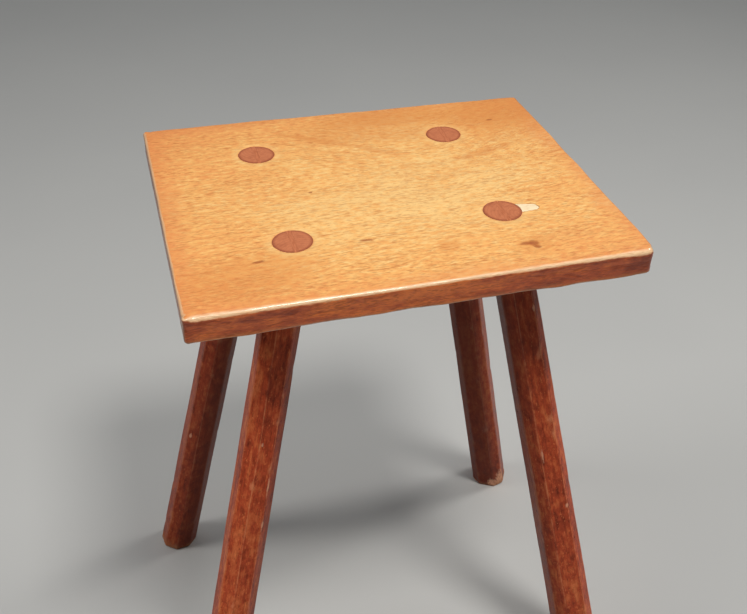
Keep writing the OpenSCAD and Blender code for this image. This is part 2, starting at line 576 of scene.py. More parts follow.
    def _side_colour(self, grain: Grain, bottom: float) -> Signal:
        """Darker, redder finish on the long edges, with warm patches.

        Args:
            grain: The plank's coordinates and patterns.
            bottom: Height of the plank's underside.

        Returns:
            The colour.
        """
        bench, x, z = grain.bench, grain.x, grain.z
        patch = bench.clouds(bench.join(x / 26.0, 3.0, z / 7.0), 3.0, 0.6)
        inner = (((x + 10.0) / 100.0) ** 2.0).decay() * 0.38
        corner = (((x + 128.0) / 34.0) ** 2.0).decay() * 0.14
        noises = patch * 0.9 + (grain.blotch - 0.5) * 0.5 + (grain.fine - 0.5) * 0.5
        stops = [(0.28, self.side_dark), (0.5, self.side), (0.74, self.side_warm)]
        colour = bench.ramp(noises + inner + corner - 0.12, stops)
        foot = (z - bottom + (patch - 0.5) * 5.0).step(4.2, 1.0)
        colour = bench.mix(colour, self.ring, foot * 0.55)
        return bench.mix(colour, self.side_dark, grain.pores * 0.45)

    def _end_colour(self, grain: Grain, top: float) -> tuple[Signal, Signal]:
        """Sawn end grain with ring arcs, rays and round pores.

        Args:
            grain: The plank's coordinates and patterns.
            top: Height of the plank's top.

        Returns:
            The colour and the mask of the pores.
        """
        bench, y, z, rings = grain.bench, grain.y, grain.z, grain.rings
        dots = bench.clouds(bench.join(y / 0.7, z / 0.7, 4.0), 1.0).step(0.58, 0.7)
        angle = bench.math("ARCTAN2", y - self.pith_y, z - (top - self.pith_depth))
        rays = bench.clouds(bench.join(angle * 120.0, z / 16.0, 9.0), 1.0).step(0.56, 0.68)
        tone = bench.clouds(bench.join(y / 18.0, z / 9.0, 2.0), 3.0)
        colour = bench.mix(self.end_pale, self.end_dark, tone.step(0.3, 0.72) * 0.7)
        colour = bench.mix(colour, self.end_dark, rings * dots * 0.8 + rings * 0.2)
        return bench.mix(colour, self.end_pale, rays * 0.4), dots * (0.3 + rings * 0.7)

    def _raw_colour(self, grain: Grain) -> tuple[Signal, Signal]:
        """Dry, unvarnished underside with the marks of a scrub plane.

        Args:
            grain: The plank's coordinates and patterns.

        Returns:
            The colour and the height of the plane's ridges.
        """
        bench, x, y = grain.bench, grain.x, grain.y
        drift = bench.clouds(bench.join(x / 120.0, y / 80.0, 1.0), 1.0) * 9.0
        ridge = bench.math("PINGPONG", y + x * 0.06 + drift, 11.0) / 11.0
        tone = grain.blotch * 0.8 + (grain.fine - 0.5) * 0.7 + 0.1
        colour = bench.mix(self.raw_dark, self.raw, tone.step(0.15, 0.85))
        colour = bench.mix(colour, self.raw_dark, grain.pores * 0.6)
        return bench.mix(colour, self.raw_dark, (1.0 - ridge) * 0.25), ridge ** 3.0

    def _scratches(self, grain: Grain) -> Signal:
        """Fine scratches in two directions over the top.

        Args:
            grain: The plank's coordinates and patterns.

        Returns:
            1 in a scratch and 0 elsewhere.
        """
        bench, x, y = grain.bench, grain.x, grain.y
        first = bench.join((x + y * 0.5) / 46.0, (y - x * 0.5) / 0.8, 5.0)
        second = bench.join((x - y * 1.3) / 40.0, (y + x * 1.3) / 0.9, 8.0)
        one = bench.clouds(first, 0.0).step(0.76, 0.82)
        return one.most(bench.clouds(second, 0.0).step(0.77, 0.83))


@dataclass(frozen=True)
class PaleMark:
    """A pale mark on a leg, a bruised spot that on some arrises is also a painted highlight: height
    and half length along the leg, and its place and half width round it, in degrees from the side
    that faces right."""

    height: float
    angle: float
    half_length: float = 2.5
    half_angle: float = 5.0


@dataclass(frozen=True)
class StainedLeg:
    """Dark red-brown stained wood and worn glossy varnish on a hand-shaped leg, with painted shade
    on its inward sides and upper part.
    """

    dark: Colour = paint(126, 50, 33)
    mid: Colour = paint(198, 82, 48)
    warm: Colour = paint(234, 132, 78)
    # Pore colour; also the colour of the painted shade on the legs' inward sides and upper parts.
    pore: Colour = paint(88, 36, 22)
    # Pale worn colour, also a painted sheen on lit facets.
    rubbed_and_sheen: Colour = paint(232, 144, 96)
    # Pale colour of bruised spots, also a painted highlight on some arrises of the front legs.
    bruise_and_glint: Colour = paint(244, 184, 148)
    foot_raw: Colour = paint(190, 134, 96)
    end: Colour = paint(198, 122, 86)
    end_dark: Colour = paint(146, 78, 56)
    sole: Colour = paint(96, 70, 52)

    def dress(self, piece: bpy.types.Object, leg: "Leg") -> None:
        """Give a leg its material.

        Args:
            piece: The leg's mesh.
            leg: The leg, which gives its axes, pale marks, painted shade and grain of its own.
        """
        bench = Bench(piece.name + "_stain")
        shift = float(leg.seed)
        x, y, z = bench.split(bench.place_in_mm(leg.stand))
        _, _, height = bench.split(bench.place_in_mm())
        _, _, nz = bench.facing()
        wear = bench.node("ShaderNodeAttribute", {"attribute_name": WEAR}, output="Fac")

        sway = bench.clouds(bench.join(x / 60.0 + shift, y / 60.0, z / 150.0), 1.0) * 6.0
        streak = bench.clouds(bench.join((x + sway) / 2.6, (y + sway) / 2.6, z / 70.0), 3.0, 0.6)
        pores = bench.clouds(bench.join(x / 0.62 + shift, y / 0.62, z / 11.0), 1.0).step(0.58, 0.7)
        mottle = bench.clouds(bench.join(x / 5.0, y / 5.0 + shift, z / 11.0), 4.0, 0.65)
        broad = bench.clouds(bench.join(x / 26.0, y / 26.0, z / 74.0 + shift), 2.0)
        flecks = bench.clouds(bench.join(x / 1.9, y / 1.9, z / 4.2 + shift), 2.0, 0.7)

        tone = mottle * 1.2 + (streak - 0.5) * 0.5 + (broad - 0.5) * 0.7 - 0.1
        stops = [(0.18, self.dark), (0.5, self.mid), (0.86, self.warm)]
        colour = bench.ramp(tone, stops)
        colour = bench.mix(colour, self.pore, pores * 0.4)
        colour = bench.mix(colour, self.pore, flecks.step(0.58, 0.72) * 0.4)
        colour = bench.mix(colour, self.warm, flecks.step(0.42, 0.28) * 0.7)
        # Worn arrises and patches: partly wear, and partly a painted pink sheen, as the pale colour
        # is strong enough to stand in for the sheen of lit facets.
        rub_and_sheen = (wear + (mottle - 0.5) * 1.1 + (flecks - 0.5) * 0.5).step(0.38, 1.0)
        colour = bench.mix(colour, self.rubbed_and_sheen, rub_and_sheen * 0.78)
        # Painted shade: the pore colour darkens the sides that face in under the seat, more towards
        # the top where the seat shades the leg, and the back legs all over.
        inner = ((x * math.cos(leg.heading) + y * math.sin(leg.heading)) / 15.0).step(-0.4, 0.9)
        foot_shade, top_shade = leg.stain_and_shade
        depth = (top_shade - foot_shade) * height.step(240.0, 400.0) + foot_shade
        colour = bench.mix(colour, self.pore, depth + inner * 0.5)
        # Pale marks: bruised spots, and on some front arrises painted highlights.
        bruises_and_glints = self._bruises_and_glints(bench, (x, y, z), leg.pale_marks, flecks)
        colour = bench.mix(colour, self.bruise_and_glint, bruises_and_glints)
        foot = (z + (mottle - 0.5) * 26.0).step(12.0, 1.0)
        colour = bench.mix(colour, self.foot_raw, foot * 0.6)

        end_colour, end_relief = self._end_grain(bench, x, y, shift)
        is_end = (height - leg.top.z / MM).step(-0.9, -0.35)
        is_sole = nz.step(-0.7, -0.95)
        colour = bench.mix(colour, end_colour, is_end)
        colour = bench.mix(colour, self.sole, is_sole * 0.85)

        relief = (
            pores * -0.06 + streak * 0.10 + mottle * 0.10 + flecks * 0.05 + bruises_and_glints * -0.25
        ) * (1.0 - is_end) + end_relief * is_end
        rough = 0.33 + (mottle - 0.5) * 0.3 + bruises_and_glints * 0.25 + foot * 0.25 + is_sole * 0.3
        coat = (wear * 0.25 + 0.06) * (1.0 - bruises_and_glints) * (1.0 - foot * 0.8) * (1.0 - is_sole)
        looks = Looks(colour, rough + is_end * 0.06, coat, relief, 0.2, 0.05)
        piece.data.materials.append(bench.varnished(looks))

    def _bruises_and_glints(
        self,
        bench: Bench,
        place: tuple[Signal, Signal, Signal],
        pale_marks: Sequence[PaleMark],
        ragged: Signal,
    ) -> Signal:
        """Mask of the leg's pale marks: bruised spots, and painted highlights on some arrises.

        Args:
            bench: Bench to add nodes to.
            place: Coordinates to the right and to the back across the leg, and along it.
            pale_marks: The marks.
            ragged: Noise that roughens their outlines.

        Returns:
            1 in a mark and 0 elsewhere.
        """
        x, y, z = place
        total: Level = 0.0
        for pale_mark in pale_marks:
            turn = math.radians(pale_mark.angle)
            ahead = x * math.cos(turn) + y * math.sin(turn)
            aside = y * math.cos(turn) - x * math.sin(turn)
            round_the_leg = bench.math("ARCTAN2", aside, ahead) / math.radians(pale_mark.half_angle)
            up_the_leg = (z - pale_mark.height) / pale_mark.half_length
            reach = round_the_leg * round_the_leg + up_the_leg * up_the_leg
            share = (reach + (ragged - 0.5) * 3.4).step(1.6, 0.0) * 0.75
            total = share.most(total)
        return total

    def _end_grain(
        self, bench: Bench, x: Signal, y: Signal, shift: float
    ) -> tuple[Signal, Signal]:
        """Varnished end grain of a tenon.

        Args:
            bench: Bench to add nodes to.
            x: Coordinate across the leg, to the right.
            y: Coordinate across the leg, to the back.
            shift: Offset that gives each leg its own grain.

        Returns:
            The colour and the relief in millimetres.
        """
        pith_x = 9.0 + 6.0 * math.cos(shift)
        pith_y = 22.0 * math.sin(shift + 1.0)
        dx = x - pith_x
        dy = y - pith_y
        reach = bench.math("SQRT", dx * dx + dy * dy)
        share = bench.math("FRACT", reach / 2.4)
        rings = share.step(0.6, 0.05)
        dots = bench.clouds(bench.join(x / 0.55, y / 0.55, shift), 1.0).step(0.56, 0.68)
        tone = bench.clouds(bench.join(x / 6.0, y / 6.0, shift), 2.0)
        colour = bench.mix(self.end, self.end_dark, rings * 0.16 + tone.step(0.4, 0.75) * 0.35)
        middle = bench.math("SQRT", x * x + y * y)
        colour = bench.mix(colour, self.end_dark, dots * 0.35 + middle.step(10.2, 12.6) * 0.7)
        return colour, dots * -0.05 + rings * -0.02


@dataclass(frozen=True)
class WedgeEnd:
    """Varnished top of a wedge: a little lighter than the tenon it splits."""

    light: Colour = paint(200, 124, 88)
    dark: Colour = paint(172, 98, 66)

    def dress(self, piece: bpy.types.Object, leg: "Leg") -> None:
        """Give a wedge its material.

        Args:
            piece: The wedge's mesh.
            leg: The wedge's leg, which gives its axes and a grain of its own.
        """
        bench = Bench(piece.name + "_varnish")
        shift = float(leg.seed)
        x, y, z = bench.split(bench.place_in_mm(leg.stand))
        lines = bench.clouds(bench.join(x / 0.5 + shift, y / 7.0, z / 7.0), 2.0, 0.6)
        dots = bench.clouds(bench.join(x / 0.5, y / 0.9 + shift, z / 2.0), 1.0).step(0.56, 0.68)
        colour = bench.mix(self.light, self.dark, lines.step(0.35, 0.7))
        colour = bench.mix(colour, self.dark, dots * 0.5)
        relief = lines * 0.05 - dots * 0.05
        looks = Looks(colour, 0.4 + dots * 0.12, 0.12, relief, 0.2, 0.05)
        piece.data.materials.append(bench.varnished(looks))


@dataclass(frozen=True)
class CreamFiller:
    """Old cream filler, worn flush and dirty at its rim."""

    cream: Colour = paint(250, 228, 190)
    shade: Colour = paint(226, 192, 146)
    dirt: Colour = paint(150, 104, 66)

    def dress(self, piece: bpy.types.Object) -> None:
        """Give the filler its material.

        Args:
            piece: The filler.
        """
        bench = Bench("cream_filler")
        x, y, z = bench.split(bench.place_in_mm())
        rim = bench.node("ShaderNodeAttribute", {"attribute_name": WEAR}, output="Fac")
        smear = bench.clouds(bench.join(x / 5.0, y / 1.6, z / 2.0), 3.0, 0.6)
        grit = bench.clouds(bench.join(x / 0.5, y / 0.5, z / 0.5), 2.0)
        crack = bench.clouds(bench.join(x / 7.0, y / 0.35, 2.0), 1.0).step(0.70, 0.76)
        colour = bench.mix(self.cream, self.shade, smear.step(0.42, 0.8))
        colour = bench.mix(colour, self.dirt, crack * 0.4)
        colour = bench.mix(colour, self.dirt, (rim + (grit - 0.5) * 0.8).step(0.5, 1.1) * 0.7)
        relief = grit * 0.06 + smear * 0.16 - crack * 0.1
        looks = Looks(colour, 0.5 + grit * 0.2, 0.15, relief, coat_roughness=0.35)
        piece.data.materials.append(bench.varnished(looks))


@dataclass(frozen=True)
class PaleFloor:
    """Plain pale studio floor."""

    light: Colour = paint(202, 203, 202)
    shade: Colour = paint(194, 195, 195)

    def dress(self, floor: bpy.types.Object) -> None:
        """Give the floor its material.

        Args:
            floor: The floor.
        """
        bench = Bench("pale_floor")
        x, y, _ = bench.split(bench.place_in_mm())
        cloud = bench.clouds(bench.join(x / 420.0, y / 420.0, 0.0), 3.0)
        colour = bench.mix(self.light, self.shade, cloud)
        looks = Looks(colour, 0.62, 0.0, cloud * 0.02)
        floor.data.materials.append(bench.varnished(looks))


@dataclass(frozen=True)
class Unevenness:
    """Smooth, repeatable wobble of hand work: its reach in metres and a seed."""

    amount: float
    seed: float

    def at(self, *place: float) -> float:
        """Wobble at a place.

        Args:
            *place: One to three coordinates, one unit to a wave.

        Returns:
            A value between minus and plus the amount.
        """
        spot = Vector((*place, 0.0, 0.0)[:3]) + Vector((self.seed * 7.31, self.seed * 3.17, 0.7))
        return self.amount * max(-1.0, min(1.0, 1.6 * noise.noise(spot)))

    def dip(self, *place: float) -> float:
        """Wobble between zero and the amount."""
        return 0.5 * (self.amount + self.at(*place))


class Skin:
    """A mesh in the making: points with a wear level each, and faces."""

    def __init__(self) -> None:
        """Start with no points."""
        self.points: list[Vector] = []
        self.wear: list[float] = []
        self.faces: list[tuple[int, ...]] = []

    def ring(self, points: Iterable[Vector], wear: Iterable[float] | None = None) -> list[int]:
        """Add a row of points.

        Args:
            points: The points.
            wear: Their wear levels, or none for unworn points.

        Returns:
            The points' numbers.
        """
        first = len(self.points)
        self.points.extend(Vector(p) for p in points)
        count = len(self.points) - first
        self.wear.extend(wear if wear is not None else [0.0] * count)
        return list(range(first, first + count))

    def bridge(self, lower: Sequence[int], upper: Sequence[int]) -> None:
        """Join two closed rows of equal length with four-sided faces.

        Args:
            lower: Row that runs anticlockwise when seen from the side of the upper row.
            upper: The other row.
        """
        count = len(lower)
        for i in range(count):
            j = (i + 1) % count
            self.faces.append((lower[i], lower[j], upper[j], upper[i]))

    def fan(self, row: Sequence[int], middle: Vector, facing_up: bool) -> None:
        """Close a row with triangles to one point.

        Args:
            row: The closed row, anticlockwise seen from above.
            middle: The point.
            facing_up: Whether the faces look up.
        """
        hub = self.ring([middle])[0]
        count = len(row)
        for i in range(count):
            j = (i + 1) % count
            face = (row[i], row[j], hub)
            self.faces.append(face if facing_up else face[::-1])

    def sheet(
        self,
        loops: Sequence[Sequence[int]],
        inner: Sequence[Vector],
        in_hole: Callable[[Vector], bool],
        facing_up: bool,
    ) -> None:
        """Fill the space between closed loops with triangles through inner points.

        Args:
            loops: Point numbers of the outer loop and of the holes' loops.
            inner: Points to pass through, all inside the outer loop.
            in_hole: Says whether a place lies in a hole.
            facing_up: Whether the faces look up.
        """
        numbers = [n for loop in loops for n in loop] + self.ring(inner)
        flat = [self.points[n].to_2d() / MM for n in numbers]
        edges = []
        start = 0
        for loop in loops:
            count = len(loop)
            edges += [(start + i, start + (i + 1) % count) for i in range(count)]
            start += count
        _, _, faces, sources, _, _ = delaunay_2d_cdt(flat, edges, [], 1, 1e-6)
        for face in faces:
            corners = [sources[i][0] for i in face]
            middle = sum((flat[c] for c in corners), Vector((0.0, 0.0))) / len(corners)
            if not in_hole(middle * MM):
                found = tuple(numbers[c] for c in corners)
                self.faces.append(found if facing_up else found[::-1])

    def piece(self, name: str, sharp_degrees: float = CRISP_DEGREES) -> bpy.types.Object:
        """Make the mesh an object.

        Args:
            name: Name of the piece.
            sharp_degrees: Edges that turn more than this stay crisp.

        Returns:
            The object, linked to the scene.
        """
        mesh = bpy.data.meshes.new(name)
        mesh.from_pydata([p[:] for p in self.points], [], self.faces)
        level = mesh.attributes.new(WEAR, "FLOAT", "POINT")
        level.data.foreach_set("value", self.wear)
        mesh.validate()
        mesh.update()
        mesh.shade_smooth()
        mesh.set_sharp_from_angle(angle=math.radians(sharp_degrees))
        made = bpy.data.objects.new(name, mesh)
        bpy.context.scene.collection.objects.link(made)
        return made


def cut_away(piece: bpy.types.Object, cutter: bpy.types.Object, sharp_degrees: float) -> None:
    """Cut one mesh out of another and throw the cutter away.

    Args:
        piece: The piece that loses material.
        cutter: The closed mesh to cut with.
        sharp_degrees: Edges of the result that turn more than this stay crisp.
    """
    cut = piece.modifiers.new("cut", "BOOLEAN")
    cut.operation = "DIFFERENCE"
    cut.solver = "EXACT"
    cut.object = cutter
    graph = bpy.context.evaluated_depsgraph_get()
    result = bpy.data.meshes.new_from_object(piece.evaluated_get(graph))
    piece.modifiers.remove(cut)
    old = piece.data
    piece.data = result
    result.name = piece.name
    bpy.data.meshes.remove(old)
    bpy.data.objects.remove(cutter)
    result.set_sharp_from_angle(angle=math.radians(sharp_degrees))


def settle(piece: bpy.types.Object, node: str) -> None:
    """Put a finished piece on its body in place of the CAD node it stands for.

    Args:
        piece: The finished piece.
        node: The CAD node.
    """
    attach(piece, BODY)
    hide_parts(node)
    LOG.info("%s: %d faces in place of %s", piece.name, len(piece.data.polygons), node)


def section_middle(node: str, height: float) -> Vector:
    """Middle of a CAD node's points at one height.

    Args:
        node: The CAD node.
        height: The height, in metres.

    Returns:
        The middle of the box round the points.
    """
    near = [v.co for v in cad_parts[node].data.vertices if abs(v.co.z - height) < 0.1 * MM]
    span = [(min(p[i] for p in near), max(p[i] for p in near)) for i in range(2)]
    return Vector(((span[0][0] + span[0][1]) / 2, (span[1][0] + span[1][1]) / 2, height))


class Place(Enum):
    """Where a leg stands."""

    FRONT_LEFT = "front_left"
    FRONT_RIGHT = "front_right"
    BACK_LEFT = "back_left"
    BACK_RIGHT = "back_right"


@dataclass(frozen=True)
class Dent:
    """A knock on an arris: angle round the leg, distance up it, size and depth."""

    angle: float
    climb: float
    size: float
    depth: float


@dataclass
class Leg:
    """One staked leg: an octagonal, tapered shaft with a round tenon at its top."""

    place: Place
    foot_width: float
    corner_share: float
    turn: float
    seed: int
    pale_marks: tuple[PaleMark, ...] = ()
    # Shares of painted shade, in the pore colour, at the foot and at the top.
    stain_and_shade: tuple[float, float] = (0.0, 0.0)
    top_width: float = 25.8 * MM
    tenon_radius: float = 12.7 * MM
    softness: float = 38.0
    shave_depth: float = 0.22 * MM
    facet_drift: float = 1.6
    dent_count: int = 22
    foot_ease: float = 2.2 * MM
    rim_ease: float = 0.2 * MM
    seam: float = 0.25 * MM
    around: int = 144
    rings: int = 124
    finish: StainedLeg = field(default_factory=StainedLeg)

    def __post_init__(self) -> None:
        """Read the leg's axis from its CAD node."""
        self.node = "leg_" + self.place.value
        low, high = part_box(self.node)
        board_low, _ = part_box("seat_board")
        self.top = section_middle(self.node, high.z)
        self.foot = section_middle(self.node, low.z)
        self.shoulder = board_low.z
        run = self.top - self.foot
        heading = math.atan2(run.y, run.x)
        rake = math.atan2(run.to_2d().length, run.z)
        turns = [(heading, "Z"), (rake, "Y"), (-heading, "Z")]
        tilt = Matrix.Identity(3)
        for angle, axis in turns:
            tilt = tilt @ Matrix.Rotation(angle, 3, axis)
        self.tilt = tilt
        self.rake = rake
        self.heading = heading
        self.stand = Matrix.Translation(self.foot) @ tilt.to_4x4()

    def at_height(self, angle: float, radius: float, height: float) -> Vector:
        """Point on the leg's surface at one height.

        Args:
            angle: Angle round the leg's axis, from the right.
            radius: Distance from the axis.
            height: Height above the floor.

        Returns:
            The point.
        """
        aside = self.tilt @ Vector((radius * math.cos(angle), radius * math.sin(angle), 0.0))
        axis = self.tilt @ Vector((0.0, 0.0, 1.0))
        return self.foot + aside + axis * ((height - aside.z) / axis.z)

    def build(self) -> bpy.types.Object:
        """Make the leg and put it in place.

        Returns:
            The leg.
        """
        skin = Skin()
        rows = self._shaft_rows(skin) + self._tenon_rows(skin)
        for lower, upper in zip(rows, rows[1:]):
            skin.bridge(lower, upper)
        self._close(skin, rows[0], self.foot.z, False)
        self._close(skin, rows[-1], self.top.z, True)
        piece = skin.piece(self.node + "_shaped")
        plate = Wedge(self).plate()
        cut_away(piece, plate, CRISP_DEGREES)
        self.finish.dress(piece, self)
        settle(piece, self.node)
        return piece

    def _facets(
        self, climb: float, dents: Sequence[Dent]
    ) -> tuple[np.ndarray, np.ndarray, np.ndarray]:
        """Radius and wear all round the shaft at one place along it.

        Args:
            climb: Distance up the leg.
            dents: The knocks along the arrises.

        Returns:
            Angles, radii and wear levels, as arrays.
        """
        length = (self.shoulder - self.foot.z) / math.cos(self.rake)
        width = self.foot_width + (self.top_width - self.foot_width) * climb / length
        shave = Unevenness(self.shave_depth, self.seed)
        drift = Unevenness(math.radians(self.facet_drift), self.seed + 40)
        angles = np.linspace(0.0, 2 * math.pi, self.around, endpoint=False)
        pulls = []
        for k in range(8):
            share = 1.0 if k % 2 == 0 else self.corner_share
            reach = width / 2 * share + shave.at(k * 5.3, climb / 0.045) - 0.12 * MM
            normal = math.radians(self.turn + 45 * k) + drift.at(k * 3.7, climb / 0.12)
            pulls.append(np.maximum(0.0, np.cos(angles - normal)) * (width / 2) / reach)
        ranked = np.sort(np.array(pulls), axis=0)
        softness = self.softness + Unevenness(12.0, self.seed + 80).at(climb / 0.07)
        radii = width / 2 * np.sum(ranked ** softness, axis=0) ** (-1.0 / softness)
        arris = np.clip((ranked[-2] / ranked[-1] - 0.955) / 0.045, 0.0, 1.0)
        for dent in dents:
            around = (np.angle(np.exp(1j * (angles - dent.angle)))) * width / 2 / dent.size
            bowl = np.exp(-(around ** 2) - ((climb - dent.climb) / dent.size / 1.8) ** 2)
            radii = radii - dent.depth * bowl
            arris = np.maximum(arris, 0.9 * bowl)
        return angles, radii, arris

    def _dents(self) -> list[Dent]:
        """Knocks along the arrises, the same on every run.

        Returns:
            The dents.
        """
        dice = random.Random(1000 + self.seed)
        found = []
        for _ in range(self.dent_count):
            corner = math.radians(self.turn + 22.5 + 45 * dice.randrange(8))
            angle = corner + math.radians(dice.uniform(-5, 5))
            climb = dice.uniform(0.01, 0.9) ** 1.2 * self.shoulder
            size = dice.uniform(1.4, 3.4) * MM
            found.append(Dent(angle, climb, size, dice.uniform(0.15, 0.6) * MM))
        return found

    def _shaft_rows(self, skin: Skin) -> list[list[int]]:
        """Rows of points up the shaft, from the rounded foot to the board.

        Args:
            skin: Mesh in the making.

        Returns:
            The rows, lowest first.
        """
        dents = self._dents()
        ease = self.foot_ease
        low_heights = [ease * s for s in (0.0, 0.06, 0.2, 0.42, 0.7, 1.0)]
        span = self.shoulder - self.seam - ease
        high_heights = [ease + span * i / self.rings for i in range(1, self.rings + 1)]
        chips = Unevenness(1.1 * MM, self.seed + 9)
        rows = []
        for height in low_heights + high_heights:
            angles, radii, arris = self._facets(height / math.cos(self.rake), dents)
            points = []
            wear = []
            for angle, radius, level in zip(angles, radii, arris):
                worn = ease * 0.55 + chips.dip(2.2 * math.cos(angle), 2.2 * math.sin(angle))
                left = max(0.0, 1.0 - height / ease)
                inset = worn * (1.0 - math.sqrt(max(0.0, 1.0 - left * left)))
                points.append(self.at_height(angle, radius - inset, height))
                wear.append(max(level, 0.8 * left))
            rows.append(skin.ring(points, wear))
        return rows

    def _tenon_rows(self, skin: Skin) -> list[list[int]]:
        """Rows of points up the tenon, from the shoulder to the trimmed end.

        Args:
            skin: Mesh in the making.

        Returns:
            The rows, lowest first.
        """
        ease = self.rim_ease
        start = self.shoulder - self.seam
        steps = [(0.0, start), (0.0, self.shoulder), (0.0, self.top.z - 6 * MM)]
        for turn in (0, 30, 60, 90):
            lean = math.radians(turn)
            inset = ease * (1 - math.cos(lean))
            steps.append((inset, self.top.z - ease * (1 - math.sin(lean))))
        rows = []
        for inset, height in steps:
            radius = self.tenon_radius - inset
            angles = [2 * math.pi * i / self.around for i in range(self.around)]
            rows.append(skin.ring(self.at_height(a, radius, height) for a in angles))
        return rows

    def _close(self, skin: Skin, row: list[int], height: float, facing_up: bool) -> None:
        """Close an end with rows that shrink to its middle.

        Args:
            skin: Mesh in the making.
            row: The end's outer row.
            height: Height of the end.
            facing_up: Whether the end looks up.
        """
        middle = self.at_height(0.0, 0.0, height)
        for share in (0.85, 0.6, 0.3):
            inner = skin.ring(middle + (skin.points[n] - middle) * share for n in row)
            pair = (row, inner) if facing_up else (inner, row)
            skin.bridge(*pair)
            row = inner
        skin.fan(row, middle, facing_up)


@dataclass
class Wedge:
    """The wedge that spreads a leg's tenon, across the board's grain."""

    leg: Leg
    top_thickness: float = 3.0 * MM
    tip_thickness: float = 1.0 * MM
    length: float = 14.0 * MM
    bevel: float = 0.03 * MM
    side_points: int = 10
    kerf_spread: float = 0.05 * MM
    kerf_spare: float = 1.5 * MM
    kerf_above: float = 2.0 * MM
    finish: WedgeEnd = field(default_factory=WedgeEnd)

    def _row(self, skin: Skin, depth: float, grown: float, reach: float = 0.0) -> list[int]:
        """Row of points round the wedge at one depth.

        Args:
            skin: Mesh in the making.
            depth: Height relative to the tenon's end.
            grown: Extra thickness on each side.
            reach: Half its width, or 0 for the tenon's own chord.

        Returns:
            The row.
        """
        taper = (self.top_thickness - self.tip_thickness) / 2 / self.length
        half = self.top_thickness / 2 + taper * depth + grown
        chord = math.sqrt(self.leg.tenon_radius ** 2 - half ** 2) - 0.04 * MM
        return skin.ring(self._outline(half, reach or chord, depth))

    def _outline(self, half: float, reach: float, depth: float) -> list[Vector]:
        """Rounded oblong round the wedge at one depth, anticlockwise from above.

        Args:
            half: Half its thickness.
            reach: Half its width.
            depth: Height relative to the tenon's end.

        Returns:
            The points.
        """
        steps = [i / (self.side_points - 1) for i in range(self.side_points)]
        right = [(half, reach * (2 * s - 1)) for s in steps]
        left = [(-half, reach * (1 - 2 * s)) for s in steps]
        bulge = 0.25 * half
        outline = right + [(0.0, reach + bulge)] + left + [(0.0, -reach - bulge)]
        height = self.leg.top.z + depth
        turned = [(math.atan2(y, x), math.hypot(x, y)) for x, y in outline]
        return [self.leg.at_height(angle, radius, height) for angle, radius in turned]

    def plate(self) -> bpy.types.Object:
        """Closed plate, wider than the tenon, that saws the kerf.

        Returns:
            The plate.
        """
        skin = Skin()
        wide = self.leg.tenon_radius * 1.3
        tip = -(self.length + self.kerf_spare)
        depths = [tip, -0.66 * self.length, -0.33 * self.length, self.kerf_above]
        rows = [self._row(skin, depth, self.kerf_spread, wide) for depth in depths]
        return self._closed(skin, rows, "kerf")

    def _closed(self, skin: Skin, rows: list[list[int]], name: str) -> bpy.types.Object:
        """Join the rows, close both ends with strips and make the object.

        Args:
            skin: Mesh in the making.
            rows: The rows, lowest first.
            name: Name of the piece.

        Returns:
            The object.
        """
        for lower, upper in zip(rows, rows[1:]):
            skin.bridge(lower, upper)
        count = self.side_points
        for row, facing_up in ((rows[0], False), (rows[-1], True)):
            right, far = row[:count], row[count]
            left, near = row[2 * count:count:-1], row[-1]
            pairs = list(zip(right, left))
            strips = [(a, c, d, b) for (a, b), (c, d) in zip(pairs, pairs[1:])]
            strips += [(right[-1], far, left[-1]), (near, right[0], left[0])]
            skin.faces += [s if facing_up else s[::-1] for s in strips]
        return skin.piece(name, 30.0)

    def build(self) -> bpy.types.Object:
        """Make the wedge and put it in place.

        Returns:
            The wedge.
        """
        skin = Skin()
        depths = [-self.length, -0.66 * self.length, -0.33 * self.length, -4 * self.bevel]
        rows = [self._row(skin, depth, 0.0) for depth in depths]
        rows.append(self._row(skin, -self.bevel, -self.bevel))
        node = "wedge_" + self.leg.place.value
        piece = self._closed(skin, rows, node + "_driven")
        self.finish.dress(piece, self.leg)
        settle(piece, node)
        return piece


